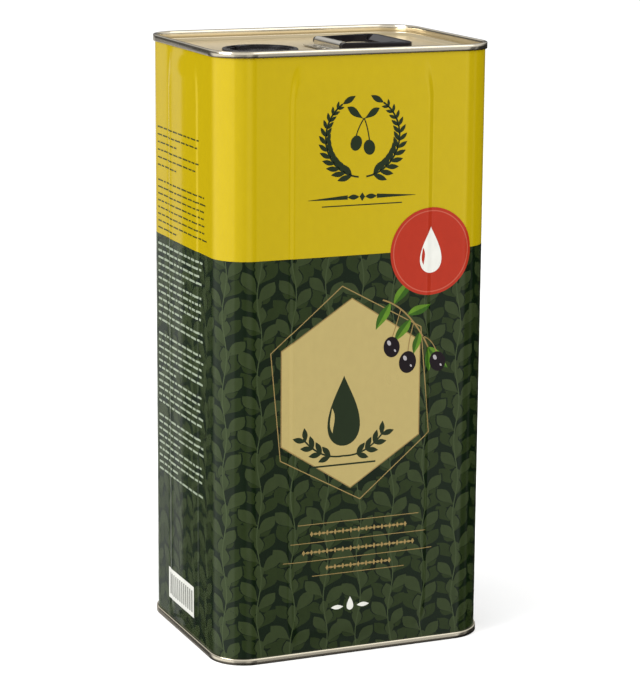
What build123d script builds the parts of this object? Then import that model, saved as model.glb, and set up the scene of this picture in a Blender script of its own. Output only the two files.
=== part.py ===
from build123d import *
import math
import os

# Olive oil tin with a pull-up spout and a folding carrying handle.
# Millimetres, +Z up, origin at the centre of the base, front face towards -Y.

# Tin body
body_width = 149.0
body_depth = 115.0
tin_height = 315.0
corner_radius = 18.0
body_sheet = 0.27
end_sheet = 0.28

# Double seams
seam_height = 3.5
seam_gap = 0.06
seam_edge_radius = 0.5
body_hook_length = 2.1
end_hook_clearance = 0.46
compound_thickness = 0.2
compound_gap = 0.04
compound_margin = 0.5
fold_share = 0.48

# Sunk panels of the two ends
chuck_wall_depth = 4.2
countersink_depth = 5.9
countersink_run = 3.0
countersink_radius = 0.8
panel_lap = 4.0

# Panels pressed outwards in the four sides
pressed_rise = 0.5
pressed_slope = 3.2
pressed_side_margin = 36.5
pressed_end_margin = 7.5
pressed_corner_radius = 6.0

# Welded lap down the back
lap_margin = 3.5
lap_width = 1.0
lap_rise = 0.12
lap_end_clearance = 0.3

# Places on the top, from the tin's centre
spout_inset = 32.0
hinge_place = 6.9

# Drawn neck of the hole in the top
hole_radius = 16.4
drawn_height = 2.2
bead_height = 0.5
bead_reach = 0.37

# Snap collar and its gasket
collar_radius = 19.25
collar_height = 4.2
collar_roof = 1.2
collar_wall = 1.9
collar_edge_radius = 0.7
collar_step_depth = 0.6
collar_step_reach = 1.7
sleeve_radius = 15.3
sleeve_wall = 0.9
sleeve_depth = 4.1
snap_reach = 0.4
snap_height = 0.7
snap_clearance = 0.1
gasket_clearance = 0.05

# Rolling wall between the collar and the neck
diaphragm_drop = 11.0
diaphragm_wall = 0.5
diaphragm_inset = 0.3

# Pouring neck
neck_radius = 10.6
neck_bore_radius = 9.4
ledge_width = 0.5
lip_drop = 4.3
neck_flange_radius = 12.8
neck_flange = 1.0
lip_reach = 0.3
lip_height = 0.8

# Screw threads
thread_pitch = 3.0
thread_turns = 1.6
thread_depth = 0.8
thread_root = 1.7
thread_crest = 0.8
thread_bite = 0.2
thread_clearance = 0.2
thread_top_gap = 1.6
cap_thread_depth = 0.5
cap_thread_turns = 1.2
cap_thread_lift = 1.1

# Sealed disc and its tear ring
membrane = 0.8
membrane_drop = 7.0
membrane_clearance = 0.1
tear_ring_radius = 6.0
tear_ring_wall = 1.4
tear_ring_height = 1.2
tear_ring_lift = 1.8
tear_post_radius = 0.9

# Cap, liner and lifting bail
cap_recess = 1.5
liner = 0.7
liner_clearance = 0.05
liner_edge_clearance = 0.2
cap_side_clearance = 0.4
cap_flange = 0.85
cap_disc_radius = 12.9
cap_skirt_wall = 1.1
cap_skirt_length = 6.7
grip_rib_count = 36
grip_rib_depth = 0.3
grip_rib_width = 0.8
nub_radius = 1.1
nub_height = 0.35
dish_depth = 0.3
dish_margin = 0.9
bail_width = 1.6
bail_height = 1.4
bail_drop = 0.35
bail_clearance = 0.25
bail_pin_radius = 0.5
bail_pin_length = 1.2
bail_pin_clearance = 0.06
bail_pin_end_clearance = 0.15
tab_width = 7.0
tab_thickness = 0.5
tab_clearance = 0.1
tab_side_clearance = 0.2
tab_corner_radius = 1.5
tab_direction = 108.0

# Handle bracket
bracket_sheet = 0.5
bracket_half_length = 16.5
bracket_foot = 7.3
bracket_foot_lift = 0.45
bracket_lift_run = 1.8
bracket_bend_radius = 0.6
bracket_lift_radius = 1.0
bracket_seat_clearance = 0.05
bracket_corner = 2.0
curl_bore_radius = 1.95
curl_wrap = 265.0
dimple_radius = 1.1
dimple_depth = 0.15
dimple_place = 4.5
dimple_inset = 3.5

# Carrying handle
hinge_clearance = 0.08
arm_clearance = 0.3
arm_width = 2.4
arm_end_radius = 1.95
handle_thickness = 3.6
handle_drop = 1.7
handle_reach = 36.6
grip_half_length = 27.0
grip_width = 8.0
grip_bead = 3.0
grip_web = 1.4
grip_corner_radius = 6.0
loop_corner_radius = 7.0
loop_flare = 4.4
handle_edge_radius = 0.6

# How far a cut runs past the face that it leaves
overrun = 1.0


# Double seam layers, as offsets from the outer face of the body wall
body_wall_mid = -body_sheet / 2
chuck_wall_mid = -body_sheet - seam_gap - end_sheet / 2
end_hook_mid = seam_gap + end_sheet / 2
body_hook_mid = end_hook_mid + end_sheet / 2 + seam_gap + body_sheet / 2
seam_wall_mid = body_hook_mid + body_sheet / 2 + seam_gap + end_sheet / 2
seam_inner_face = chuck_wall_mid - end_sheet / 2
seam_outer_face = seam_wall_mid + end_sheet / 2
body_fold = (body_hook_mid - body_wall_mid) * fold_share
end_fold = (seam_wall_mid - end_hook_mid) * fold_share
seam_top_bend = seam_edge_radius - end_sheet / 2

# Depths below the rim of each end
compound_top = end_sheet
compound_bottom = compound_top + compound_thickness
body_fold_top = compound_bottom + compound_gap
body_fold_mid = body_fold_top + body_sheet / 2
body_hook_tip = body_fold_top + body_hook_length
end_hook_tip = body_fold_top + body_sheet + end_hook_clearance
panel_mid = countersink_depth + end_sheet / 2

half_width = body_width / 2
half_depth = body_depth / 2
top_rim = Plane(origin=(0, 0, tin_height), x_dir=(1, 0, 0), z_dir=(0, 0, 1))
bottom_rim = Plane(origin=(0, 0, 0), x_dir=(1, 0, 0), z_dir=(0, 0, -1))


def body_outline(inset, mode=Mode.ADD):
    """Rounded rectangle of the body, brought in by an inset from its outer face."""
    width = body_width - 2 * inset
    depth = body_depth - 2 * inset
    return RectangleRounded(width, depth, corner_radius - inset, mode=mode)


def body_path(rim):
    """Closed path along the outer face of the body, from the middle of its right side."""
    straight_depth = half_depth - corner_radius
    straight_width = half_width - corner_radius
    with BuildLine(rim) as path:
        Line((half_width, 0), (half_width, straight_depth))
        JernArc((half_width, straight_depth), (0, 1), corner_radius, 90)
        Line((straight_width, half_depth), (-straight_width, half_depth))
        JernArc((-straight_width, half_depth), (-1, 0), corner_radius, 90)
        Line((-half_width, straight_depth), (-half_width, -straight_depth))
        JernArc((-half_width, -straight_depth), (0, -1), corner_radius, 90)
        Line((-straight_width, -half_depth), (straight_width, -half_depth))
        JernArc((straight_width, -half_depth), (1, 0), corner_radius, 90)
        Line((half_width, -straight_depth), (half_width, 0))
    return path.wire()


def side_section(rim):
    """Plane through the right side wall, with its x outwards from the outer face."""
    return Plane(origin=rim.origin + rim.x_dir * half_width, x_dir=rim.x_dir, z_dir=rim.y_dir * -1)


def pressed_panel(face, half_span, half_height, shrink):
    """Sloped pad on one side, from a face plane out to the pressed rise."""
    foot = pressed_slope / 2 - shrink
    crown = -pressed_slope / 2 - shrink
    foot_radius = pressed_corner_radius - shrink
    crown_radius = pressed_corner_radius - pressed_slope - shrink
    with BuildPart() as pad:
        with BuildSketch(face):
            RectangleRounded(2 * (half_span + foot), 2 * (half_height + foot), foot_radius)
        with BuildSketch(face.offset(pressed_rise)):
            RectangleRounded(2 * (half_span + crown), 2 * (half_height + crown), crown_radius)
        loft(ruled=True)
    return pad.part


# Pads and hollows of the four pressed sides
pressed_half_height = tin_height / 2 - pressed_end_margin
front_half_span = half_width - pressed_side_margin
side_half_span = half_depth - pressed_side_margin
pressed_shrink = body_sheet * math.tan(math.atan2(pressed_rise, pressed_slope) / 2)
sides = [
    ((0, -1, 0), half_depth, front_half_span),
    ((0, 1, 0), half_depth, front_half_span),
    ((-1, 0, 0), half_width, side_half_span),
    ((1, 0, 0), half_width, side_half_span),
]
pads = []
hollows = []
for outward, distance, half_span in sides:
    normal = Vector(*outward)
    centre = normal * distance + Vector(0, 0, tin_height / 2)
    outer_face = Plane(origin=centre, x_dir=Vector(0, 0, 1).cross(normal), z_dir=normal)
    inner_face = outer_face.offset(-body_sheet)
    pads.append(pressed_panel(outer_face, half_span, pressed_half_height, 0))
    hollows.append(pressed_panel(inner_face, half_span, pressed_half_height, pressed_shrink))

# Body wrap, one sheet with a hook flanged out at each end
with BuildPart() as body_wrap:
    with BuildSketch(side_section(top_rim)):
        with BuildLine():
            FilletPolyline(
                (body_hook_mid, -body_hook_tip),
                (body_hook_mid, -body_fold_mid),
                (body_wall_mid, -body_fold_mid),
                (body_wall_mid, body_fold_mid - tin_height),
                (body_hook_mid, body_fold_mid - tin_height),
                (body_hook_mid, body_hook_tip - tin_height),
                radius=body_fold,
            )
        trace(line_width=body_sheet)
    sweep(path=body_path(top_rim))
    add(pads)
    add(hollows, mode=Mode.SUBTRACT)
    # The welded lap stands a little proud between the two seams.
    lap_length = tin_height - 2 * (seam_height + lap_end_clearance)
    lap_place = half_width - corner_radius - lap_margin
    with BuildSketch(Plane.XY.offset(seam_height + lap_end_clearance)):
        with Locations((lap_place, half_depth)):
            Rectangle(lap_width, 2 * lap_rise)
    extrude(amount=lap_length)
body_wrap.part.label = "body_wrap"


def tin_end(rim):
    """One end: hook, seam, chuck wall, countersink and sunk panel, hung from a rim plane."""
    with BuildPart() as end:
        with BuildSketch(side_section(rim)):
            with BuildLine():
                FilletPolyline(
                    (chuck_wall_mid - countersink_run - 2 * panel_lap, -panel_mid),
                    (chuck_wall_mid - countersink_run, -panel_mid),
                    (chuck_wall_mid, -chuck_wall_depth),
                    (chuck_wall_mid, -end_sheet / 2),
                    (seam_wall_mid, -end_sheet / 2),
                    (seam_wall_mid, end_sheet / 2 - seam_height),
                    (end_hook_mid, end_sheet / 2 - seam_height),
                    (end_hook_mid, -end_hook_tip),
                    radius=[
                        countersink_radius,
                        countersink_radius,
                        seam_top_bend,
                        seam_top_bend,
                        end_fold,
                        end_fold,
                    ],
                )
            trace(line_width=end_sheet)
        sweep(path=body_path(rim))
        with BuildSketch(rim.offset(-countersink_depth)):
            body_outline(panel_lap + countersink_run - chuck_wall_mid)
        extrude(amount=-end_sheet)
    return end


# Top end, with the hole for the spout drawn up into a beaded neck
spout_x = spout_inset - half_width
spout_y = spout_inset - half_depth
panel_top = tin_height - countersink_depth
spout_axis = Axis((spout_x, spout_y, 0), (0, 0, 1))
spout_section = Plane(origin=(spout_x, spout_y, panel_top), x_dir=(1, 0, 0), z_dir=(0, -1, 0))
drawn_radius = hole_radius + end_sheet
bead_radius = drawn_radius + bead_reach
top_blank = tin_end(top_rim)
with BuildPart() as top_end:
    add(top_blank.part)
    with BuildSketch(Plane.XY.offset(panel_top - end_sheet)):
        with Locations((spout_x, spout_y)):
            Circle(drawn_radius)
    extrude(amount=end_sheet + drawn_height)
    with BuildSketch(Plane.XY.offset(panel_top + drawn_height)):
        with Locations((spout_x, spout_y)):
            Circle(bead_radius)
    extrude(amount=-bead_height)
    with BuildSketch(Plane.XY.offset(panel_top - end_sheet - overrun)):
        with Locations((spout_x, spout_y)):
            Circle(hole_radius)
    extrude(amount=end_sheet + drawn_height + 2 * overrun, mode=Mode.SUBTRACT)
top_end.part.label = "top_end"

# Bottom end
bottom_end = tin_end(bottom_rim)
bottom_end.part.label = "bottom_end"


def seam_compound(rim):
    """Ring of sealing compound under the top of a seam."""
    with BuildPart() as compound:
        with BuildSketch(rim.offset(-compound_bottom)):
            body_outline(compound_margin - seam_outer_face)
            body_outline(-seam_inner_face - seam_edge_radius, mode=Mode.SUBTRACT)
        extrude(amount=compound_thickness)
    return compound


top_seam_compound = seam_compound(top_rim)
top_seam_compound.part.label = "top_seam_compound"
bottom_seam_compound = seam_compound(bottom_rim)
bottom_seam_compound.part.label = "bottom_seam_compound"

# Snap collar, hooked over the bead of the drawn neck, with a step for the bail's tab
snap_top = drawn_height - bead_height - snap_clearance
snap_bottom = snap_top - snap_height
collar_under = collar_height - collar_roof
collar_inner = collar_radius - collar_wall
sleeve_outer = sleeve_radius + sleeve_wall
step_radius = sleeve_radius + collar_step_reach
step_floor = collar_height - collar_step_depth
with BuildPart() as spout_collar:
    with BuildSketch(spout_section):
        with BuildLine():
            Polyline(
                (sleeve_radius, -sleeve_depth),
                (sleeve_outer, -sleeve_depth),
                (sleeve_outer, collar_under),
                (collar_inner, collar_under),
                (collar_inner, snap_top),
                (collar_inner - snap_reach, snap_top),
                (collar_inner - snap_reach, snap_bottom),
                (collar_inner, snap_bottom),
                (collar_inner, 0),
                (collar_radius, 0),
                (collar_radius, collar_height),
                (step_radius, collar_height),
                (step_radius, step_floor),
                (sleeve_radius, step_floor),
                close=True,
            )
        make_face()
    revolve(axis=spout_axis)
    collar_rims = spout_collar.faces().sort_by(Axis.Z)[-1].edges().sort_by(SortBy.LENGTH)
    fillet(collar_rims[-1], radius=collar_edge_radius)
spout_collar.part.label = "spout_collar"

# Gasket pressed between the drawn neck and the roof of the collar
with BuildPart() as spout_gasket:
    with BuildSketch(Plane.XY.offset(panel_top + drawn_height)):
        with Locations((spout_x, spout_y)):
            Circle(collar_inner - gasket_clearance)
            Circle(sleeve_outer + gasket_clearance, mode=Mode.SUBTRACT)
    extrude(amount=collar_under - drawn_height)
spout_gasket.part.label = "spout_gasket"

# Rolling wall, a thin cone from the sleeve down to the flange of the neck
diaphragm_top = -sleeve_depth - diaphragm_wall / 2
neck_flange_mid = diaphragm_top - diaphragm_drop
diaphragm_foot = neck_flange_radius + diaphragm_wall / 2
with BuildPart() as spout_diaphragm:
    with BuildSketch(spout_section):
        with BuildLine():
            Polyline(
                (sleeve_outer, diaphragm_top),
                (sleeve_radius - diaphragm_inset, diaphragm_top),
                (diaphragm_foot, neck_flange_mid + neck_flange / 2),
                (diaphragm_foot, neck_flange_mid - neck_flange / 2),
            )
        trace(line_width=diaphragm_wall)
    revolve(axis=spout_axis)
spout_diaphragm.part.label = "spout_diaphragm"


def thread_ridge(root_radius, depth, start_height, turns):
    """Helical ridge on a wall of the root radius; a negative depth points inwards."""
    start = spout_section.origin + Vector(0, 0, start_height)
    bite = math.copysign(thread_bite, depth)
    with BuildLine() as guide:
        Helix(thread_pitch, thread_pitch * turns, root_radius, center=start)
    lead = guide.line @ 0
    with BuildPart() as ridge:
        with BuildSketch(Plane(origin=lead, x_dir=(1, 0, 0), z_dir=guide.line % 0)):
            with BuildLine():
                Polyline(
                    (-bite, -thread_root / 2),
                    (0, -thread_root / 2),
                    (depth, -thread_crest / 2),
                    (depth, thread_crest / 2),
                    (0, thread_root / 2),
                    (-bite, thread_root / 2),
                    close=True,
                )
            make_face()
        sweep(path=guide.line, is_frenet=True)
    return ridge.part


# Pouring neck, with a ledge in its bore for the sealed disc
lip_top = collar_height - lip_drop
membrane_top = lip_top - membrane_drop
ledge_top = membrane_top - membrane
ledge_radius = neck_bore_radius - ledge_width
neck_bottom = neck_flange_mid - neck_flange / 2
neck_thread_start = lip_top - thread_top_gap - thread_turns * thread_pitch
neck_thread = thread_ridge(neck_radius, thread_depth, neck_thread_start, thread_turns)
with BuildPart() as spout_neck:
    with BuildSketch(spout_section):
        with BuildLine():
            Polyline(
                (ledge_radius, neck_bottom),
                (neck_flange_radius, neck_bottom),
                (neck_flange_radius, neck_bottom + neck_flange),
                (neck_radius, neck_bottom + neck_flange),
                (neck_radius, lip_top - lip_height),
                (neck_radius + lip_reach, lip_top - lip_height),
                (neck_radius + lip_reach, lip_top),
                (neck_bore_radius, lip_top),
                (neck_bore_radius, ledge_top),
                (ledge_radius, ledge_top),
                close=True,
            )
        make_face()
    revolve(axis=spout_axis)
    add(neck_thread)
spout_neck.part.label = "spout_neck"

# Sealed disc on the ledge, and the ring that tears it out
with BuildPart() as seal_membrane:
    with BuildSketch(Plane.XY.offset(panel_top + ledge_top)):
        with Locations((spout_x, spout_y)):
            Circle(neck_bore_radius - membrane_clearance)
    extrude(amount=membrane)
seal_membrane.part.label = "seal_membrane"

with BuildPart() as tear_ring:
    with BuildSketch(Plane.XY.offset(panel_top + membrane_top + tear_ring_lift)):
        with Locations((spout_x, spout_y)):
            Circle(tear_ring_radius + tear_ring_wall / 2)
            Circle(tear_ring_radius - tear_ring_wall / 2, mode=Mode.SUBTRACT)
    extrude(amount=tear_ring_height)
    with BuildSketch(Plane.XY.offset(panel_top + membrane_top)):
        with Locations((spout_x, spout_y - tear_ring_radius)):
            Circle(tear_post_radius)
    extrude(amount=tear_ring_lift + tear_ring_height / 2)
tear_ring.part.label = "tear_ring"

# Soft disc under the roof of the cap
cap_under = lip_top + liner + 2 * liner_clearance
cap_inner = neck_radius + thread_depth + thread_clearance + cap_thread_depth
with BuildPart() as cap_liner:
    with BuildSketch(Plane.XY.offset(panel_top + lip_top + liner_clearance)):
        with Locations((spout_x, spout_y)):
            Circle(cap_inner - liner_edge_clearance)
    extrude(amount=liner)
cap_liner.part.label = "cap_liner"

# Screw cap, dished on top, with a groove round its back half for the bail
cap_top = collar_height - cap_recess
cap_outer = cap_inner + cap_skirt_wall
cap_flange_radius = sleeve_radius - cap_side_clearance
bail_mid = cap_top - bail_drop - bail_height / 2
groove_floor = bail_mid - bail_height / 2 - bail_clearance
cap_bottom = cap_under - cap_skirt_length
bail_turn = math.radians(tab_direction)
pivot_direction = (math.sin(bail_turn), -math.cos(bail_turn), 0)
bail_level = Plane(
    origin=(spout_x, spout_y, panel_top + bail_mid),
    x_dir=pivot_direction,
    z_dir=(0, 0, 1),
)
pivot_section = Plane(origin=bail_level.origin, x_dir=bail_level.y_dir, z_dir=bail_level.x_dir)
bail_inner = cap_disc_radius + bail_clearance
bail_outer = bail_inner + bail_width
pin_tip = bail_inner - bail_pin_length
cap_thread_start = cap_bottom + cap_thread_lift
cap_thread = thread_ridge(cap_inner, -cap_thread_depth, cap_thread_start, cap_thread_turns)
with BuildPart() as spout_cap:
    with BuildSketch(spout_section):
        with BuildLine():
            Polyline(
                (0, cap_under),
                (cap_inner, cap_under),
                (cap_inner, cap_bottom),
                (cap_outer, cap_bottom),
                (cap_outer, groove_floor - cap_flange),
                (cap_flange_radius, groove_floor - cap_flange),
                (cap_flange_radius, cap_top),
                (0, cap_top),
                close=True,
            )
        make_face()
    revolve(axis=spout_axis)
    # The groove for the bail ends just past the pins.
    groove_reach = cap_flange_radius + overrun
    with BuildSketch(bail_level.offset(groove_floor - bail_mid)):
        Circle(groove_reach)
        Circle(cap_disc_radius, mode=Mode.SUBTRACT)
        with Locations((0, groove_reach - bail_height / 2 - bail_clearance)):
            Rectangle(2 * groove_reach, 2 * groove_reach, mode=Mode.INTERSECT)
    extrude(amount=cap_top - groove_floor + overrun, mode=Mode.SUBTRACT)
    with BuildSketch(bail_level.offset(cap_top - bail_mid)):
        Circle(cap_disc_radius - dish_margin)
    extrude(amount=-dish_depth, mode=Mode.SUBTRACT)
    with BuildSketch(bail_level.offset(cap_top - dish_depth - bail_mid)):
        Circle(nub_radius)
    extrude(amount=nub_height)
    with BuildSketch(bail_level.offset(cap_bottom - bail_mid)):
        with PolarLocations(cap_outer, grip_rib_count):
            Rectangle(2 * grip_rib_depth, grip_rib_width)
        Circle(cap_inner + cap_skirt_wall / 2, mode=Mode.SUBTRACT)
    extrude(amount=groove_floor - cap_flange / 2 - cap_bottom)
    for side in (1, -1):
        with BuildSketch(pivot_section.offset(side * (pin_tip - bail_pin_end_clearance))):
            Circle(bail_pin_radius + bail_pin_clearance)
        extrude(amount=side * (bail_pin_length + bail_pin_end_clearance), mode=Mode.SUBTRACT)
    add(cap_thread)
spout_cap.part.label = "spout_cap"

# Lifting bail, a half ring on two pins, with a tab in the step of the collar
tab_under = step_floor + tab_clearance
tab_end = step_radius - tab_side_clearance
riser_outer = sleeve_radius - tab_side_clearance
with BuildPart() as cap_bail:
    with BuildSketch(bail_level.offset(-bail_height / 2)):
        Circle(bail_outer)
        Circle(bail_inner, mode=Mode.SUBTRACT)
        with Locations((0, bail_outer / 2)):
            Rectangle(2 * bail_outer, bail_outer, mode=Mode.INTERSECT)
    extrude(amount=bail_height)
    for side in (1, -1):
        with BuildSketch(pivot_section.offset(side * bail_inner)):
            Circle(bail_height / 2)
        extrude(amount=side * bail_width)
        with BuildSketch(pivot_section.offset(side * pin_tip)):
            Circle(bail_pin_radius)
        extrude(amount=side * (bail_pin_length + bail_width / 2))
    with BuildSketch(bail_level.offset(-bail_height / 2)):
        Circle(riser_outer)
        Circle(bail_inner, mode=Mode.SUBTRACT)
        with Locations((0, riser_outer / 2)):
            Rectangle(tab_width, riser_outer, mode=Mode.INTERSECT)
    extrude(amount=bail_height / 2 + tab_under + tab_thickness - bail_mid)
    with BuildSketch(bail_level.offset(tab_under - bail_mid)):
        Circle(tab_end)
        with Locations((0, tab_end / 2)):
            RectangleRounded(tab_width, tab_end, tab_corner_radius, mode=Mode.INTERSECT)
        Circle(bail_inner, mode=Mode.SUBTRACT)
    extrude(amount=tab_thickness)
cap_bail.part.label = "cap_bail"

# Handle bracket, one strip: lifted foot, upright web and curl
hinge_height = bracket_seat_clearance + bracket_sheet + curl_bore_radius
hinge_level = panel_top + hinge_height
curl_mid_radius = curl_bore_radius + bracket_sheet / 2
foot_tip = -curl_mid_radius - bracket_foot
foot_mid = bracket_sheet / 2
with BuildPart() as handle_bracket:
    bracket_section = Plane(origin=(hinge_place, 0, panel_top), x_dir=(1, 0, 0), z_dir=(0, -1, 0))
    with BuildSketch(bracket_section):
        with BuildLine():
            FilletPolyline(
                (foot_tip, foot_mid + bracket_foot_lift),
                (foot_tip + bracket_lift_run, foot_mid),
                (-curl_mid_radius, foot_mid),
                (-curl_mid_radius, hinge_height),
                radius=[bracket_lift_radius, bracket_bend_radius],
            )
            CenterArc((0, hinge_height), curl_mid_radius, 180, -curl_wrap)
        trace(line_width=bracket_sheet)
    extrude(amount=bracket_half_length, both=True)
    foot_left = hinge_place + foot_tip - overrun
    for side in (1, -1):
        with BuildSketch(Plane.XY.offset(panel_top - overrun)):
            with BuildLine():
                Polyline(
                    (foot_left, side * (bracket_half_length + overrun)),
                    (foot_left + overrun + bracket_corner, side * (bracket_half_length + overrun)),
                    (foot_left + overrun + bracket_corner, side * bracket_half_length),
                    (foot_left + overrun, side * (bracket_half_length - bracket_corner)),
                    (foot_left, side * (bracket_half_length - bracket_corner)),
                    close=True,
                )
            make_face()
        extrude(amount=bracket_sheet + bracket_foot_lift + 2 * overrun, mode=Mode.SUBTRACT)
    with BuildSketch(Plane.XY.offset(panel_top + bracket_sheet)):
        with Locations(
            (hinge_place - curl_mid_radius - dimple_inset, dimple_place),
            (hinge_place - curl_mid_radius - dimple_inset, -dimple_place),
        ):
            Circle(dimple_radius)
    extrude(amount=-dimple_depth, mode=Mode.SUBTRACT)
handle_bracket.part.label = "handle_bracket"

# Carrying handle: flared arms, a grip with a raised bead, and the hinge bar
arm_inner = bracket_half_length + arm_clearance
arm_outer = arm_inner + arm_width
handle_bottom = hinge_level - handle_drop
grip_outer_place = hinge_place + handle_reach
grip_inner_place = grip_outer_place - grip_width
bead_place = grip_outer_place - grip_bead
loop_half = arm_inner + loop_flare
with BuildPart() as handle:
    with BuildSketch(Plane.XY.offset(handle_bottom)) as handle_plan:
        with BuildLine():
            Polyline(
                (hinge_place, arm_outer),
                (grip_outer_place, grip_half_length),
                (grip_outer_place, -grip_half_length),
                (hinge_place, -arm_outer),
                close=True,
            )
        make_face()
        fillet(handle_plan.vertices().group_by(Axis.X)[-1], radius=grip_corner_radius)
    extrude(amount=handle_thickness)
    fillet(handle.edges().filter_by(Axis.Z, reverse=True), radius=handle_edge_radius)
    with BuildSketch(Plane.XY.offset(handle_bottom - overrun)) as loop_plan:
        with BuildLine():
            Polyline(
                (hinge_place - overrun, arm_inner),
                (hinge_place, arm_inner),
                (grip_inner_place, loop_half),
                (grip_inner_place, -loop_half),
                (hinge_place, -arm_inner),
                (hinge_place - overrun, -arm_inner),
                close=True,
            )
        make_face()
        fillet(loop_plan.vertices().group_by(Axis.X)[-1], radius=loop_corner_radius)
    extrude(amount=handle_thickness + 2 * overrun, mode=Mode.SUBTRACT)
    # The inside of the grip slopes down from the bead to a thinner web.
    grip_section = Plane(origin=(0, 0, handle_bottom), x_dir=(1, 0, 0), z_dir=(0, -1, 0))
    with BuildSketch(grip_section):
        with BuildLine():
            Polyline(
                (grip_inner_place - overrun, grip_web),
                (grip_inner_place, grip_web),
                (bead_place, handle_thickness),
                (bead_place, handle_thickness + overrun),
                (grip_inner_place - overrun, handle_thickness + overrun),
                close=True,
            )
        make_face()
    extrude(amount=loop_half, both=True, mode=Mode.SUBTRACT)
    hinge_section = Plane(origin=(hinge_place, 0, hinge_level), x_dir=(1, 0, 0), z_dir=(0, -1, 0))
    for side in (1, -1):
        with BuildSketch(hinge_section.offset(side * arm_inner)):
            Circle(arm_end_radius)
        extrude(amount=side * arm_width)
    with BuildSketch(hinge_section):
        Circle(curl_bore_radius - hinge_clearance)
    extrude(amount=arm_inner, both=True)
handle.part.label = "handle"

# Write one file for each piece
pieces = [
    body_wrap,
    top_end,
    bottom_end,
    top_seam_compound,
    bottom_seam_compound,
    handle_bracket,
    spout_collar,
    spout_gasket,
    spout_diaphragm,
    spout_neck,
    seal_membrane,
    tear_ring,
    cap_liner,
    spout_cap,
    cap_bail,
    handle,
]
os.makedirs("parts", exist_ok=True)
for piece in pieces:
    export_step(piece.part, f"parts/{piece.part.label}.step")
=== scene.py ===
import bpy
import bmesh
import math
import random
from mathutils import Matrix, Vector

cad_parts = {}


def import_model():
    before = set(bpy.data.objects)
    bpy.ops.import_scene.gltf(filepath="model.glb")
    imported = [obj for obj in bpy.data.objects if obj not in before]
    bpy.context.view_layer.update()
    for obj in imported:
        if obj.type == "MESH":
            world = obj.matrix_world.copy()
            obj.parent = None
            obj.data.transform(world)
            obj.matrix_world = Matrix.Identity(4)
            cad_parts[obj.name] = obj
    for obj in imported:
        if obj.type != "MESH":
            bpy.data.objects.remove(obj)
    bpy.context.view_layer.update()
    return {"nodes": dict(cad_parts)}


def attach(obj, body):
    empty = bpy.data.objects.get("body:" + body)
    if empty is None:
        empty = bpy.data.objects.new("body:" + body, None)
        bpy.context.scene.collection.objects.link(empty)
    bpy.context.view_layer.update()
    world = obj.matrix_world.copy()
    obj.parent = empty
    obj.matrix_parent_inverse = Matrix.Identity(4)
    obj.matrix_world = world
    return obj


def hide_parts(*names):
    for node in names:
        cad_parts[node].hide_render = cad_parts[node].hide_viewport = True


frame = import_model()
NODES = frame["nodes"]
random.seed(7)

MM = 0.001

# Sizes of the tin in millimetres, as the solids have them
WIDTH, DEPTH, HEIGHT, CORNER = 149.0, 115.0, 315.0, 18.0
SHEET = 0.27
SEAM = 3.5
# How deep an end's panel lies below the rim, and how high the slope rises at the chuck wall's foot
PANEL_DEPTH, SLOPE_RISE = 5.9, 1.7
# The panels pressed outwards into the sides, called pads here: how far they stand out, the width
# of the slope round them, their distance from the tin's sides and ends, and their corners' radius
PAD_RISE, PAD_SLOPE = 0.5, 3.2
PAD_SIDE, PAD_END, PAD_CORNER = 36.5, 7.5, 4.4
# The slope at a pad's upper and lower ends, and how far in from the end the outline still curves
PAD_FADE = 12.0
PAD_TOE = PAD_FADE + PAD_CORNER * PAD_FADE / PAD_SLOPE + 1
# Height where the green print meets the yellow
COLOUR_LINE = 210.7
# The printed sheet starts inside the lower seam and ends inside the upper one, at this distance
SKIN_FOOT = 2.8

# Half the tin's width and depth, the straight half of a broad and a narrow face, and lengths round
# the wall: a corner, the whole, and from the front's middle to a side's middle and its far end
HALF_W, HALF_D = WIDTH / 2, DEPTH / 2
STRAIGHT_W, STRAIGHT_D = HALF_W - CORNER, HALF_D - CORNER
ARC = CORNER * math.pi / 2
GIRTH = 4 * (STRAIGHT_W + STRAIGHT_D) + 4 * ARC
SIDE_MID = STRAIGHT_W + ARC + STRAIGHT_D
REAR_CORNER = SIDE_MID + STRAIGHT_D

# Light that an upright wall gets in the studio, and the sheen that lies over its ink
LIT, SHEEN = 1.08, 0.012

# Colours of an end's sunk panel and of the slope round it, and the panel's roughness and metal
PANEL_TONE = (0.6, 0.5, 0.32, 1.0)
# The slope's darker olive colour is painted shade at the foot of the chuck wall.
SLOPE_SHADE_TONE = (0.46, 0.38, 0.23, 1.0)
PANEL_ROUGH, PANEL_METAL = 0.3, 0.45
# Where the slope's painted shade starts above the panel and ends about its top, in millimetres
SLOPE_SHADE_BLEND = (0.05, 0.35)
SEAM_BLEND = (-0.2, 0.1)
# Height of the bump that makes a seam look convex, in millimetres
SEAM_DOME = 1.6

# The part of its range that a noise mostly fills
NOISE_LOW, NOISE_HIGH = 0.3, 0.7


# Materials
def rgb(r, g, b):
    """sRGB in 0..255 to linear."""
    out = []
    for v in (r, g, b):
        v /= 255
        out.append(v / 12.92 if v <= 0.04045 else ((v + 0.055) / 1.055) ** 2.4)
    return (*out, 1.0)


def ink(r, g, b):
    """Reflectance of an ink that shows as this sRGB colour on the wall."""
    return (*[max(0.002, (v - SHEEN) / LIT) for v in rgb(r, g, b)[:3]], 1.0)


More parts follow.
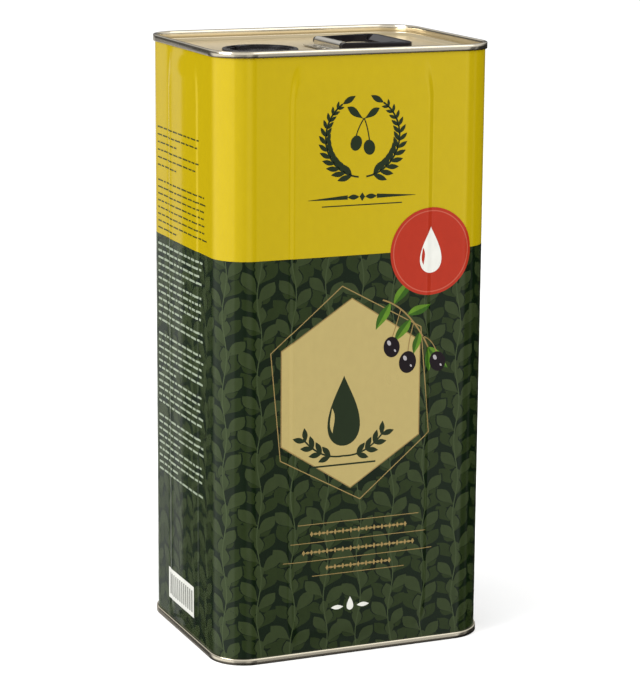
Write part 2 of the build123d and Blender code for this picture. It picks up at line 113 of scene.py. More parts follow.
class Nodes:
    """A node tree, cleared, with short ways to add nodes and links."""

    def __init__(self, tree):
        self.tree = tree
        tree.nodes.clear()

    def new(self, kind, **values):
        n = self.tree.nodes.new(kind)
        for k, v in values.items():
            setattr(n, k, v)
        return n

    def feed(self, socket, value):
        """Link an output to a socket, or set a number or colour on it."""
        if isinstance(value, bpy.types.NodeSocket):
            self.tree.links.new(value, socket)
        else:
            socket.default_value = value

    def calc(self, operation, *values, clamp=False):
        n = self.new("ShaderNodeMath", operation=operation, use_clamp=clamp)
        for socket, value in zip(n.inputs, values):
            self.feed(socket, value)
        return n.outputs[0]

    def mix(self, factor, a, b):
        """Colour a where the factor is 0 and b where it is 1."""
        n = self.new("ShaderNodeMix", data_type="RGBA")
        for socket, value in (("Factor", factor), ("A", a), ("B", b)):
            self.feed(n.inputs[socket], value)
        return n.outputs["Result"]

    def ramp(self, value, start, end, low=0.0, high=1.0, smooth=False):
        """Number that goes from low to high while the value goes from start to end."""
        kind = "SMOOTHSTEP" if smooth else "LINEAR"
        n = self.new("ShaderNodeMapRange", interpolation_type=kind)
        ends = {"From Min": start, "From Max": end, "To Min": low, "To Max": high}
        for socket, v in ends.items():
            n.inputs[socket].default_value = v
        self.feed(n.inputs["Value"], value)
        return n.outputs[0]

    def split(self, vector):
        n = self.new("ShaderNodeSeparateXYZ")
        self.feed(n.inputs[0], vector)
        return n.outputs


class Mat(Nodes):
    """A Principled material with a few helpers for procedural detail."""

    def __init__(self, name, color, rough, metal=0.0, coat=0.0, coat_rough=0.05, spec=0.5):
        self.material = bpy.data.materials.new(name)
        self.material.use_nodes = True
        super().__init__(self.material.node_tree)
        out = self.new("ShaderNodeOutputMaterial")
        self.shader = self.new("ShaderNodeBsdfPrincipled")
        self.feed(out.inputs[0], self.shader.outputs[0])
        self.put("Base Color", color)
        self.put("Roughness", rough)
        self.put("Metallic", metal)
        self.put("IOR", 1.5)
        self.put("Coat Weight", coat)
        self.put("Coat Roughness", coat_rough)
        self.put("Specular IOR Level", spec)
        self.color = color
        self.rough = rough
        self.place = self.new("ShaderNodeTexCoord").outputs["Object"]
        self.normal = None

    def put(self, socket, value):
        self.feed(self.shader.inputs[socket], value)

    def noise(self, scale, stretch=(1, 1, 1), detail=3.0):
        """Noise of this many spots to the metre, drawn out where the stretch is under 1."""
        mapping = self.new("ShaderNodeMapping")
        mapping.inputs["Scale"].default_value = [scale * s for s in stretch]
        self.feed(mapping.inputs["Vector"], self.place)
        n = self.new("ShaderNodeTexNoise")
        n.inputs["Scale"].default_value = 1.0
        n.inputs["Detail"].default_value = detail
        self.feed(n.inputs["Vector"], mapping.outputs[0])
        return n.outputs["Fac"]

    def tint(self, noise, dark):
        """Base colour varies between a darker tone and the plain one."""
        deep = [c * dark for c in self.color[:3]] + [1]
        mottle = self.mix(self.ramp(noise, NOISE_LOW, NOISE_HIGH), deep, self.color)
        self.put("Base Color", mottle)
        return mottle

    def vary_rough(self, noise, spread):
        low, high = self.rough - spread, self.rough + spread
        self.put("Roughness", self.ramp(noise, NOISE_LOW, NOISE_HIGH, low, high))

    def bump(self, fac, height, strength=1.0):
        """Bump of a height in metres, over the bumps that the material has already."""
        n = self.new("ShaderNodeBump")
        n.inputs["Distance"].default_value = height
        n.inputs["Strength"].default_value = strength
        self.feed(n.inputs["Height"], fac)
        if self.normal is not None:
            self.feed(n.inputs["Normal"], self.normal)
        self.normal = n.outputs[0]
        self.put("Normal", self.normal)


def printed(name, color, metal=0.3, dark=0.94, rough=0.2, dye=0.3, coat=0.55, spec=0.05):
    """Thin ink on tinplate under varnish: the metal's sheen shows through, with mottle and waves.

    The dye is the share of the ink's colour in that sheen. Fine grain lies under the varnish only.
    """
    m = Mat(name, color, rough, metal=metal, coat=coat, coat_rough=0.04, spec=spec)
    strongest = max(color[:3])
    m.put("Specular Tint", (*[1 - dye + dye * c / strongest for c in color[:3]], 1))
    mottle, gloss, waves, grain = 260, 60, 14, 2600
    m.tint(m.noise(mottle, (1, 1, 0.6)), dark)
    m.vary_rough(m.noise(gloss, (1, 1, 0.25)), 0.03)
    m.bump(m.noise(waves, (1, 1, 0.22), detail=1), 0.0007, 0.1)
    m.put("Coat Normal", m.normal)
    m.bump(m.noise(grain, detail=1), 0.00002, 0.12)
    return m.material


def tinplate(name, color, rough, streak=(1, 1, 1), metal=1.0, end=False):
    """Lacquered bare tinplate: rolled grain, dull spots, slow waves, an end's panel and its
    painted shade.
    """
    m = Mat(name, color, rough, metal=metal)
    mottle, dull, grain, waves = 70, 500, 1600, 40
    seam_tone = m.tint(m.noise(mottle, streak), 0.93)
    m.vary_rough(m.noise(dull, streak), 0.03)
    if end:
        # The sunk panel is duller and yellower than the rolled seam, at both ends of the tin.
        height = m.split(m.place)[2]
        from_middle = m.calc("ABSOLUTE", m.calc("SUBTRACT", height, HEIGHT / 2 * MM))
        panel = HEIGHT / 2 - PANEL_DEPTH
        slope_top = panel + SLOPE_RISE
        # The slope round the panel gets a darker colour, painted shade at the chuck wall's foot.
        on_shaded_slope = m.ramp(from_middle, *[(panel + d) * MM for d in SLOPE_SHADE_BLEND])
        on_seam = m.ramp(from_middle, *[(slope_top + d) * MM for d in SEAM_BLEND])
        sunk_tone_with_shade = m.mix(on_shaded_slope, PANEL_TONE, SLOPE_SHADE_TONE)
        m.put("Base Color", m.mix(on_seam, sunk_tone_with_shade, seam_tone))
        m.put("Roughness", m.ramp(on_seam, 0, 1, PANEL_ROUGH, rough))
        m.put("Metallic", m.ramp(on_seam, 0, 1, PANEL_METAL, metal))
    m.bump(m.noise(grain, streak, detail=2), 0.00002, 0.1)
    m.bump(m.noise(waves, detail=1), 0.0004, 0.08)
    if end:
        # The seaming roll leaves the outside of each seam a little convex: the bump is a parabola
        # over the seam's height, 1 - x * x / 4, with x from -1 to 1 on the seam.
        middle = HEIGHT / 2 - SEAM / 2
        x = m.ramp(from_middle, (middle - SEAM) * MM, (middle + SEAM) * MM, -2, 2)
        dome = m.calc("MULTIPLY_ADD", x, m.calc("MULTIPLY", x, -0.25), 1.0, clamp=True)
        m.bump(dome, SEAM_DOME * MM)
    return m.material


def plastic(name, color, rough, dark=0.8, grain=3200, height=0.00002, spec=0.3):
    """Moulded plastic: fine mould grain, flow mottle and rubbed spots."""
    m = Mat(name, color, rough, spec=spec)
    flow, rubbed = 140, 420
    m.tint(m.noise(flow, detail=4), dark)
    m.vary_rough(m.noise(rubbed, detail=4), 0.05)
    m.bump(m.noise(grain, detail=2), height, 0.25)
    return m.material


YELLOW = printed("ink_yellow", ink(199, 174, 28), dark=0.965, dye=0.95, coat=0.75, spec=0.0)
GREEN = printed("ink_dark_green", ink(33, 42, 24), 0.35)
LEAF_LOW = printed("ink_leaf_shade", ink(51, 62, 38), 0.35, 0.85)
LEAF = printed("ink_leaf_green", ink(62, 73, 47), 0.35, 0.85)
STEM = printed("ink_stem_green", ink(74, 86, 58), 0.35, 0.9)
CREAM = printed("ink_cream", ink(183, 165, 108), 0.15, 0.96, 0.3)
GOLD = printed("ink_gold", ink(176, 150, 96), 0.5)
RED = printed("ink_red", ink(178, 58, 42), 0.2)
RED_RIM = printed("ink_light_red", ink(196, 96, 78), 0.2)
WHITE = printed("ink_white", ink(222, 222, 214), 0.0, rough=0.4)
GREY = printed("ink_pale_green", ink(150, 160, 140), 0.0, rough=0.4)
DARK = printed("ink_deep_green", ink(44, 53, 38), 0.2)
SOFT_DARK = printed("ink_thin_green", ink(74, 76, 26), 0.2)
OLIVE = printed("ink_olive_black", ink(36, 30, 34), 0.1)
SHINE = printed("ink_olive_shine", ink(168, 164, 166), 0.1)
FRESH = printed("ink_fresh_green", ink(100, 140, 48), 0.2, 0.75)
FRESH_DARK = printed("ink_fresh_shade", ink(62, 98, 38), 0.2, 0.8)
TWIG = printed("ink_twig", ink(150, 126, 80), 0.2)
BARE = tinplate("bare_tinplate", (0.82, 0.745, 0.59, 1), 0.17, end=True)
BRIGHT = tinplate("bracket_tinplate", (0.80, 0.76, 0.67, 1), 0.2, (1, 0.15, 1))
WELD = tinplate("weld_strip", (0.5, 0.47, 0.4, 1), 0.34, (1, 1, 0.1), metal=0.45)
BLACK = plastic("black_closure", (0.017, 0.015, 0.016, 1), 0.26, spec=0.4)
BLACK_GLOSS = plastic("black_handle", (0.014, 0.012, 0.014, 1), 0.13, spec=0.14)
MILKY = plastic("milky_polyethylene", (0.6, 0.6, 0.56, 1), 0.42, dark=0.93)
FOAM = plastic("liner_foam", (0.62, 0.62, 0.58, 1), 0.7, dark=0.9, grain=5200, height=0.00008)
RUBBER = plastic("gasket_rubber", (0.05, 0.05, 0.05, 1), 0.6)
COMPOUND = plastic("seam_compound", (0.3, 0.25, 0.16, 1), 0.65)

CAD_LOOKS = {
    "top_end": BARE, "bottom_end": BARE, "handle_bracket": BRIGHT, "handle": BLACK_GLOSS,
    "top_seam_compound": COMPOUND, "bottom_seam_compound": COMPOUND, "spout_collar": BLACK,
    "spout_cap": BLACK, "cap_bail": BLACK, "spout_gasket": RUBBER, "spout_diaphragm": MILKY,
    "spout_neck": MILKY, "seal_membrane": MILKY, "tear_ring": MILKY, "cap_liner": FOAM,
    "body_wrap": YELLOW,
}
for node, look in CAD_LOOKS.items():
    materials = NODES[node].data.materials
    materials.clear()
    materials.append(look)


# The body's skin
def wall_point(s):
    """Point and outward normal at a distance s round the wall from the middle of the front."""
    s = (s + GIRTH / 2) % GIRTH - GIRTH / 2
    sign = 1 if s >= 0 else -1
    a = abs(s)
    if a <= STRAIGHT_W:
        p, n = (a, -HALF_D), (0, -1)
    elif a <= STRAIGHT_W + ARC:
        t = (a - STRAIGHT_W) / CORNER - math.pi / 2
        n = (math.cos(t), math.sin(t))
        p = (STRAIGHT_W + CORNER * n[0], -STRAIGHT_D + CORNER * n[1])
    elif a <= STRAIGHT_W + ARC + 2 * STRAIGHT_D:
        p, n = (HALF_W, a - SIDE_MID), (1, 0)
    elif a <= STRAIGHT_W + 2 * ARC + 2 * STRAIGHT_D:
        t = (a - STRAIGHT_W - ARC - 2 * STRAIGHT_D) / CORNER
        n = (math.cos(t), math.sin(t))
        p = (STRAIGHT_W + CORNER * n[0], STRAIGHT_D + CORNER * n[1])
    else:
        p, n = (GIRTH / 2 - a, HALF_D), (0, 1)
    return (p[0] * sign, p[1]), (n[0] * sign, n[1])


def pad_edge(s, z):
    """Signed distance from the outline of the nearest pad, negative on it. A corner has no pad."""
    s = abs((s + GIRTH / 2) % GIRTH - GIRTH / 2)
    if s <= STRAIGHT_W:
        along, half = s, HALF_W - PAD_SIDE
    elif abs(s - SIDE_MID) <= STRAIGHT_D:
        along, half = abs(s - SIDE_MID), HALF_D - PAD_SIDE
    elif s >= GIRTH / 2 - STRAIGHT_W:
        along, half = GIRTH / 2 - s, HALF_W - PAD_SIDE
    else:
        return CORNER
    qx = along - half + PAD_CORNER
    inward = HEIGHT / 2 - PAD_END - (PAD_FADE - PAD_SLOPE) / 2
    qz = (abs(z - HEIGHT / 2) - inward) * PAD_SLOPE / PAD_FADE + PAD_CORNER
    return math.hypot(max(qx, 0), max(qz, 0)) + min(max(qx, qz), 0) - PAD_CORNER


def on_wall(s, z, lift):
    """Point in metres on the wall with its pads, or a lift in millimetres off it."""
    (x, y), (nx, ny) = wall_point(s)
    t = min(max((PAD_SLOPE / 2 - pad_edge(s, z)) / PAD_SLOPE, 0), 1)
    out = PAD_RISE * t * t * (3 - 2 * t) + lift
    return Vector(((x + nx * out) * MM, (y + ny * out) * MM, z * MM))


def wall_normal(s, z):
    if abs(pad_edge(s, z)) > PAD_SLOPE / 2:
        return Vector((*wall_point(s)[1], 0))
    e = 0.05
    ds = on_wall(s + e, z, 0) - on_wall(s - e, z, 0)
    dz = on_wall(s, z + e, 0) - on_wall(s, z - e, 0)
    return ds.cross(dz).normalized()


def steps(a, b, size):
    """Even steps of about this size from a up to b, without b."""
    n = max(1, round((b - a) / size))
    return [a + (b - a) * i / n for i in range(n)]


def girth_lines(fine=1.0):
    """Where the skin is divided round the tin: closely in the corners and on the pads' slopes."""
    front, side = HALF_W - PAD_SIDE, HALF_D - PAD_SIDE
    edge = PAD_SLOPE / 2 + 0.2
    side_edge = SIDE_MID - side
    coarse, flat, curve, slope = 8, 4, 1.0, 0.35
    # From the middle of the front to the middle of the right side
    half = steps(0, front - edge - PAD_CORNER, coarse)
    half += steps(front - edge - PAD_CORNER, front - edge, curve)
    half += steps(front - edge, front + edge, slope)
    half += steps(front + edge, STRAIGHT_W, flat)
    half += steps(STRAIGHT_W, STRAIGHT_W + ARC, fine)
    half += steps(STRAIGHT_W + ARC, side_edge - edge, flat)
    half += steps(side_edge - edge, side_edge + edge, slope)
    half += steps(side_edge + edge, side_edge + edge + PAD_CORNER, curve)
    half += steps(side_edge + edge + PAD_CORNER, SIDE_MID, coarse)
    # The side's other half mirrors that up to mid-corner, and the back repeats the front.
    turn = REAR_CORNER + ARC / 2
    lines = [v for v in half + [SIDE_MID] + [2 * SIDE_MID - v for v in half] if v <= turn]
    lines += [GIRTH / 2 - v for v in half if GIRTH / 2 - v > turn]
    right = {round(v, 5) for v in lines}
    return sorted(right | {-v for v in right if 0 < v < GIRTH / 2})


def height_lines():
    """Where the skin is divided upwards: closely at the pads' ends."""
    low, high = PAD_END + PAD_TOE, HEIGHT - PAD_END - PAD_TOE
    close, coarse = 0.9, 12
    z = steps(SKIN_FOOT, low, close)
    z += steps(low, COLOUR_LINE, coarse)
    z += steps(COLOUR_LINE, high, coarse)
    z += steps(high, HEIGHT - SKIN_FOOT, close) + [HEIGHT - SKIN_FOOT]
    return z


def finish_mesh(name, mesh):
    """Object of a mesh that rides on the tin."""
    obj = bpy.data.objects.new(name, mesh)
    bpy.context.scene.collection.objects.link(obj)
    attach(obj, "tin")
    return obj


def body_skin():
    """Mesh of the printed sheet, outside and inside, in yellow above the colour line."""
    ss, zs = girth_lines(), height_lines()
    verts, faces, looks = [], [], []
    yellow, green = 0, 1
    count = len(ss)
    for lift in (0.0, -SHEET):
        for z in zs:
            verts += [on_wall(s, z, lift) for s in ss]
    layer = count * len(zs)
    for side in (0, 1):
        for j in range(len(zs) - 1):
            for i in range(count):
                k = (i + 1) % count
                a, b = side * layer + j * count + i, side * layer + j * count + k
                quad = (a, b, b + count, a + count)
                faces.append(quad if side == 0 else quad[::-1])
                looks.append(yellow if zs[j] >= COLOUR_LINE - 0.01 else green)
    # Lower and upper edges of the sheet
    for j in (0, len(zs) - 1):
        for i in range(count):
            k = (i + 1) % count
            a, b = j * count + i, j * count + k
            quad = (a, a + layer, b + layer, b)
            faces.append(quad if j == 0 else quad[::-1])
            looks.append(green if j == 0 else yellow)
    mesh = bpy.data.meshes.new("printed_body")
    mesh.from_pydata(verts, [], faces)
    mesh.materials.append(YELLOW)
    mesh.materials.append(GREEN)
    for p, look in zip(mesh.polygons, looks):
        p.material_index = look
        p.use_smooth = True
    mesh.update()
    normals = []
    for sign in (1, -1):
        for z in zs:
            normals += [wall_normal(s, z) * sign for s in ss]
    mesh.normals_split_custom_set_from_vertices(normals)
    return mesh


skin = finish_mesh("printed_body", body_skin())
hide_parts("body_wrap")


# The print
def in_corner(s):
    s = abs(s)
    front = STRAIGHT_W < s < STRAIGHT_W + ARC
    return front or GIRTH / 2 - STRAIGHT_W - ARC < s < GIRTH / 2 - STRAIGHT_W


# Print is cut where the wall curves, so that it follows the skin.
CORNER_ENDS = (STRAIGHT_W, STRAIGHT_W + ARC, GIRTH / 2 - STRAIGHT_W - ARC)
CUTS_S = [s for s in girth_lines(1.4)
          if in_corner(s) or abs(pad_edge(s, HEIGHT / 2)) < PAD_SLOPE]
CUTS_S += [sign * s for sign in (-1, 1) for s in CORNER_ENDS]
CUTS_S = sorted(set(s + turn for s in CUTS_S for turn in (-GIRTH, 0, GIRTH)))
CUTS_Z = [z for z in height_lines()
          if abs(z - HEIGHT / 2) > HEIGHT / 2 - PAD_END - PAD_TOE][::2]

# How far each layer of print lies off the wall, in millimetres
LIFT = {
    "low_leaves": 0.02, "leaf_edges": 0.03, "high_leaves": 0.04, "vine_stems": 0.05,
    "gold": 0.065, "wreath": 0.07, "rules_dark": 0.07, "rules_pale": 0.07,
    "plaque_edge": 0.075, "mark": 0.075, "plaque": 0.09, "drop": 0.105, "patch": 0.11,
    "drop_light": 0.12, "patch_stripes": 0.13, "sprig_leaves": 0.13, "sprig_shade": 0.145,
    "badge": 0.15, "sprig_twigs": 0.16, "badge_ring": 0.165, "olives": 0.175,
    "badge_drop": 0.18, "strip": 0.18, "olive_glints": 0.19, "badge_drop_cut": 0.195,
}
# Shapes of one piece that overlap lie this far apart, in a cycle of so many levels.
LAYER_STEP, LAYERS = 0.0012, 6


def print_piece(prefix, part, shapes, look, mid=0.0, low=None, high=None):
    """Flat shapes in (s, z), moved round the tin by mid, laid on the wall, cut at low and high."""
    shapes = [[(s + mid, z) for s, z in pts] for pts in shapes]
    name = prefix + "_" + part
    bm = bmesh.new()

    def crossed(pts):
        s0, s1 = min(p[0] for p in pts), max(p[0] for p in pts)
        z0, z1 = min(p[1] for p in pts), max(p[1] for p in pts)
        if (low is not None and z0 < low) or (high is not None and z1 > high):
            return True
        return any(s0 < s < s1 for s in CUTS_S) or any(z0 < z < z1 for z in CUTS_Z)

    def lay(chosen):
        for i, pts in chosen:
            rise = LIFT[part] + i % LAYERS * LAYER_STEP
            bm.faces.new([bm.verts.new((s, z, rise)) for s, z in pts])
        bmesh.ops.triangulate(bm, faces=bm.faces[:])

    def cut(co, no, **kw):
        geom = bm.verts[:] + bm.edges[:] + bm.faces[:]
        bmesh.ops.bisect_plane(bm, geom=geom, dist=1e-5, plane_co=co, plane_no=no, **kw)

    numbered = list(enumerate(shapes))
    to_cut = [item for item in numbered if crossed(item[1])]
    lay(to_cut)
    if to_cut:
        s_min = min(v.co.x for v in bm.verts)
        s_max = max(v.co.x for v in bm.verts)
        if low is not None:
            cut((0, low, 0), (0, 1, 0), clear_inner=True)
        if high is not None:
            cut((0, high, 0), (0, 1, 0), clear_outer=True)
        for s in CUTS_S:
            if s_min < s < s_max:
                cut((s, 0, 0), (1, 0, 0))
        for z in CUTS_Z:
            cut((0, z, 0), (0, 1, 0))
    lay([item for item in numbered if not crossed(item[1])])
    for f in bm.faces:
        f.normal_update()
        if f.normal.z < 0:
            f.normal_flip()
    normals = [wall_normal(v.co.x, v.co.y) for v in bm.verts]
    for v in bm.verts:
        v.co = on_wall(*v.co)
    mesh = bpy.data.meshes.new(name)
    bm.to_mesh(mesh)
    bm.free()
    mesh.materials.append(look)
    for p in mesh.polygons:
        p.use_smooth = True
    mesh.normals_split_custom_set_from_vertices(normals)
    finish_mesh(name, mesh)


# Flat shapes, all in millimetres
def turned(pts, angle, at):
    """Points turned about the origin and then moved to a place."""
    c, s = math.cos(angle), math.sin(angle)
    return [(at[0] + x * c - y * s, at[1] + x * s + y * c) for x, y in pts]


def around(count):
    return [2 * math.pi * i / count for i in range(count)]


def on_circle(at, r, a):
    return (at[0] + r * math.cos(a), at[1] + r * math.sin(a))


def leaf(length, width, bend=0.0, sides=7, tip=0.62):
    """Leaf from the origin along +y, widest at the tip share of its length."""
    right, left = [], []
    for i in range(1, sides):
        t = i / sides
        w = width / 2 * math.sin(math.pi * t ** (math.log(0.5) / math.log(tip)))
        x = bend * math.sin(math.pi * t / 2) ** 2 * length
        right.append((x + w, t * length))
        left.append((x - w, t * length))
    return [(0, 0)] + right + [(bend * length, length)] + left[::-1]


def ribbon(path, width, closed=False):
    """Quads of constant width along a path."""
    n = len(path)
    # The least cosine of half a bend that counts, so that a sharp corner doesn't run far out
    sharpest, tiny = 0.35, 1e-9
    edges = []
    for i, p in enumerate(path):
        a = path[i - 1] if (i > 0 or closed) else p
        b = path[(i + 1) % n] if (i < n - 1 or closed) else p
        d1 = Vector((p[0] - a[0], p[1] - a[1]))
        d2 = Vector((b[0] - p[0], b[1] - p[1]))
        if d1.length < tiny:
            d1 = d2
        if d2.length < tiny:
            d2 = d1
        d1.normalize()
        d2.normalize()
        t = (d1 + d2).normalized()
        m = width / 2 / max(sharpest, t.dot(d1))
        edges.append(((p[0] - t.y * m, p[1] + t.x * m), (p[0] + t.y * m, p[1] - t.x * m)))
    quads = []
    for i in range(n if closed else n - 1):
        a, b = edges[i], edges[(i + 1) % n]
        quads.append([a[1], b[1], b[0], a[0]])
    return quads


def disc(at, r, sides, squash=1.0, turn=0.0):
    pts = [(r * math.cos(a), r * squash * math.sin(a)) for a in around(sides)]
    return turned(pts, turn, at)


def hexagon(half_w, half_h, at, turn=0.0):
    """Hexagon with points up and down and upright sides of half its height."""
    side = half_h * 0.5
    pts = [(0, half_h), (-half_w, side), (-half_w, -side),
           (0, -half_h), (half_w, -side), (half_w, side)]
    return turned(pts, turn, at)


def bar(left, right, low, high):
    return [(left, low), (right, low), (right, high), (left, high)]


def bez(p0, p1, p2):
    """Fifteen points on a quadratic curve."""
    out = []
    n = 14
    for i in range(n + 1):
        t = i / n
        out.append(tuple((1 - t) ** 2 * a + 2 * t * (1 - t) * b + t * t * c
                         for a, b, c in zip(p0, p1, p2)))
    return out


def drop(at, r, height):
    """Drop of oil with its point up."""
    pts = []
    sides, taper = 40, 1.35
    for a in around(sides):
        x = r * math.sin(a) * math.sin(a / 2) ** taper
        y = -r + height * (0.5 + 0.5 * math.cos(a))
        pts.append((-x, y))
    return turned(pts, 0.0, at)


# Vines all round the green part: their number, the height from one pair of leaves to the next,
# and how far and over what height a stem sways
VINES, TIER = 27, 10.0
VINE_SWAY, VINE_WAVE = 1.3, 41.6
VINE_FOOT = SEAM - 1.0


def vines():
    """Upright vines with broad leaves in two layers, each upper leaf with a dark edge."""
    low, edges, high, stems = [], [], [], []
    pitch = GIRTH / VINES
    stem_heights = [2.5 + 2.6 * i for i in range(81)]
    for c in range(VINES):
        mid = -GIRTH / 2 + (c + 0.5) * pitch
        phase = (c % 2) * TIER / 2 + (c % 3) * 1.9

        def centre(z, mid=mid, phase=phase):
            return mid + VINE_SWAY * math.sin(2 * math.pi * (z + 3 * phase) / VINE_WAVE)

        stems += ribbon([(centre(z), z) for z in stem_heights], 0.55)
        z = -8 + phase
        k = 0
        while z < COLOUR_LINE + 2:
            for side in (-1, 1):
                root = z + (0 if side < 0 else TIER * 0.47)
                grow = random.uniform(0.9, 1.12)
                lean = side * random.uniform(0.5, 0.78)
                at = (centre(root) + 0.1 * side, root)
                bend = random.uniform(0.06, 0.16) * side
                long_leaf = leaf(13.4 * grow, 6.6 * grow, bend=bend)
                long_edge = leaf(14.2 * grow, 7.8 * grow, bend=bend)
                round_leaf = leaf(9.0 * grow, 5.6 * grow, bend=-bend, tip=0.6)
                round_edge = leaf(9.7 * grow, 6.6 * grow, bend=-bend, tip=0.6)
                if (k + c + (side > 0)) % 2:
                    low.append(turned(long_leaf, -lean, at))
                    edges.append(turned(round_edge, -lean * 0.35, at))
                    high.append(turned(round_leaf, -lean * 0.35, at))
                else:
                    low.append(turned(round_leaf, -lean * 1.9, at))
                    edges.append(turned(long_edge, -lean, at))
                    high.append(turned(long_leaf, -lean, at))
            z += TIER
            k += 1
    return low, edges, high, stems


low_leaves, leaf_edges, high_leaves, vine_stems = vines()
for part, shapes, look in (("low_leaves", low_leaves, LEAF_LOW), ("leaf_edges", leaf_edges, GREEN),
                           ("high_leaves", high_leaves, LEAF), ("vine_stems", vine_stems, STEM)):
    print_piece("print", part, shapes, look, low=VINE_FOOT, high=COLOUR_LINE)


# The design of a broad face, with s from the face's middle
WREATH_AT, WREATH_R = (0, 270.6), 20.2
RULE_Z = 240.4
PLAQUE_AT = (-5.0, 139.0)
SPRAYS_AT = (-9.0, 106.6)
BADGE_AT, BADGE_R, RING_R = (38.7, 210.0), 22.7, 21.0
MARK_AT = (-4.5, 25.6)


def wreath():
    """Wreath of two olive branches, open at the top, round a pair of olives, over a rule."""
    dark = []
    for side in (-1, 1):
        angles = [math.radians(-90 + side * (6 + i * 5.4)) for i in range(27)]
        arc = [on_circle(WREATH_AT, WREATH_R, a) for a in angles]
        dark += ribbon(arc, 0.9)
        for i in range(2, 26, 2):
            ahead = angles[i] + side * math.pi / 2
            size = 1 - 0.022 * i
            for out in (-1, 1):
                aim = ahead - side * out * 0.62 - math.pi / 2
                small = leaf(8.6 * size, 3.1 * size, 0.05 * out, tip=0.5)
                dark.append(turned(small, aim, arc[i]))
        aim = math.radians(-90 + side * 151) + side * math.pi / 2 - math.pi / 2
        dark.append(turned(leaf(8.0, 3.0, tip=0.5), aim, arc[-1]))
    knot = (0.6, 280.0)
    for side in (-1, 1):
        hang = 2.4 * (side > 0)
        dark.append(disc((side * 3.6, 267.6 - hang), 3.1, 28, 1.25, 0.25 * side))
        dark += ribbon(bez((side * 3.6, 271.2 - hang), (side * 2.6, 275.5), knot), 0.6)
    dark.append(turned(leaf(11.0, 3.9, 0.12), math.radians(62), (0.4, 279.6)))
    dark.append(turned(leaf(10.0, 3.6, -0.12), math.radians(-66), (0.4, 279.6)))
    # Rule with a lozenge between two leaves, and a plain one below it
    for side in (-1, 1):
        inner, outer = side * 8.0, side * 29.5
        dark.append([(inner, 239.3), (outer, 239.7), (outer, 239.9), (inner, 241.5)])
        small = leaf(6.4, 2.6, tip=0.5)
        dark.append(turned(small, math.radians(-90 * side), (side * 1.6, RULE_Z)))
    dark.append([(-1.5, RULE_Z), (0, 238.2), (1.5, RULE_Z), (0, 242.6)])
    dark.append(bar(-22.0, 22.0, 236.0, 236.55))
    return dark


def gold_lines():
    """The plaque's offset outline, and the ruled frieze of lozenges and small leaves below it."""
    gold = ribbon(hexagon(41.6, 56.5, PLAQUE_AT, math.radians(5.5)), 0.5, closed=True)
    for z, half in ((71.6, 34), (61.8, 38), (52.0, 42), (43.8, 26)):
        gold.append(bar(-half, half, z, z + 0.35))
    pitch = 4.4
    for z, half in ((66.6, 27), (56.8, 31), (47.8, 22)):
        count = int(half // pitch)
        for i in range(-count, count + 1):
            x = i * pitch
            gold.append([(x - 0.9, z), (x, z - 1.5), (x + 0.9, z), (x, z + 1.5)])
            if i < count:
                gold.append(turned(leaf(3.0, 1.3, tip=0.5), math.radians(-90), (x + 0.75, z)))
    return gold


def drop_and_sprays():
    """Dark drop between two sprays of leaves on the plaque."""
    middle = SPRAYS_AT[0]
    dark = [drop((middle, 124.5), 12.6, 37.0)]
    for side in (-1, 1):
        bow, end = (middle + side * 13, 105.4), (middle + side * 22.5, 117.5)
        stem = bez(SPRAYS_AT, bow, end)
        dark += ribbon(stem, 0.9)
        for i in (4, 7, 10, 13):
            a, b = stem[i], stem[i + 1]
            ahead = math.atan2(b[1] - a[1], b[0] - a[0])
            for out in (-1, 1):
                aim = ahead + out * 0.6 - math.pi / 2
                dark.append(turned(leaf(7.4, 3.0, tip=0.5), aim, a))
    dark.append(bar(-27.0, 9.0, 101.6, 102.5))
    return dark


def sprig():
    """Olive sprig over the plaque's upper right edge: leaves, their shaded halves and twigs."""
    twig = bez((12.0, 186.5), (27.0, 182.0), (38.0, 160.0))
    side_twigs = [bez(twig[5], (19.5, 172.0), (17.5, 166.5)),
                  bez(twig[9], (27.0, 165.0), (26.5, 158.0)),
                  bez(twig[12], (40.5, 164.0), (43.0, 157.0))]
    twigs = ribbon(twig, 0.8)
    for t in side_twigs:
        twigs += ribbon(t, 0.5)
    whole, shade = [], []
    sides = 12
    # Place on the twig, direction in degrees, length and width of each leaf
    for i, deg, length, width in ((2, 158, 15.5, 5.2), (3, -30, 17.0, 5.4), (7, -62, 14.0, 5.0),
                                  (8, 150, 14.5, 5.0), (14, -128, 16.5, 5.2),
                                  (14, -168, 13.0, 4.6), (11, 172, 12.0, 4.4)):
        pts = leaf(length, width, 0.14, sides=sides, tip=0.46)
        whole.append(turned(pts, math.radians(deg), twig[i]))
        shade.append(turned(pts[:sides + 1], math.radians(deg), twig[i]))
    return whole, shade, twigs


def olives():
    """Fruit of the sprig, and two glints on each."""
    fruit, glints = [], []
    for x, z, r, turn in ((17.3, 161.6, 4.5, 0.15), (26.4, 153.0, 4.8, -0.1),
                          (43.6, 152.0, 4.4, 0.35)):
        fruit.append(disc((x, z), r, 48, 1.2, turn))
        glints.append(disc((x - 1.5, z + 2.2), 0.95, 20, 1.5, 0.5))
        glints.append(disc((x + 1.9, z - 2.0), 0.5, 16, 1.6, 0.6))
    return fruit, glints


def mark():
    """Small drop between two leaves, low on the face."""
    x, z = MARK_AT
    white = [drop((x, 26.0), 2.6, 7.4)]
    for side in (-1, 1):
        small = leaf(7.0, 2.4, tip=0.5)
        white.append(turned(small, math.radians(-90 * side), (x + side * 3.8, z)))
    return white


